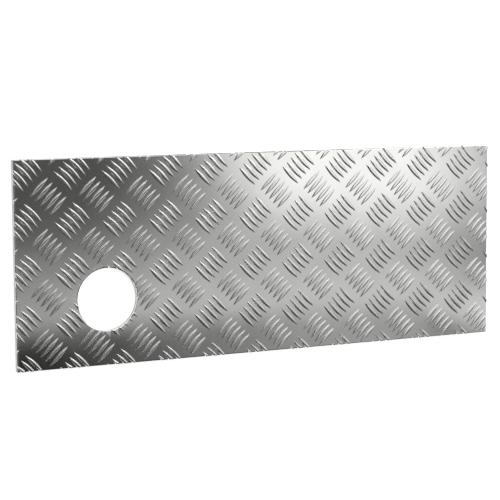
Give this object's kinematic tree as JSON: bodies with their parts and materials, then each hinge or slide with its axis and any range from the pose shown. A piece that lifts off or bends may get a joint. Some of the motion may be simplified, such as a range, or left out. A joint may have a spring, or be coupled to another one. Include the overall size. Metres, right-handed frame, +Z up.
{
  "type": "tread plate sheet",
  "caption": "Flat rectangular piece of rolled metal sheet with groups of raised anti-slip lugs on its upper face and a round cut-out through it near one end.",
  "frame": {"origin": "middle of the sheet's underside", "axes": "+X along the length, away from the end with the round cut-out; +Y across the width, away from the edge nearer the cut-out; +Z up, out of the tread face"},
  "size_m": [0.6, 0.231, 0.0075],
  "materials": {
    "rolled_metal": "bright mill finish, as rolled"
  },
  "bodies": {
    "root": {"tread_plate": "rolled_metal"}
  },
  "joints": []
}
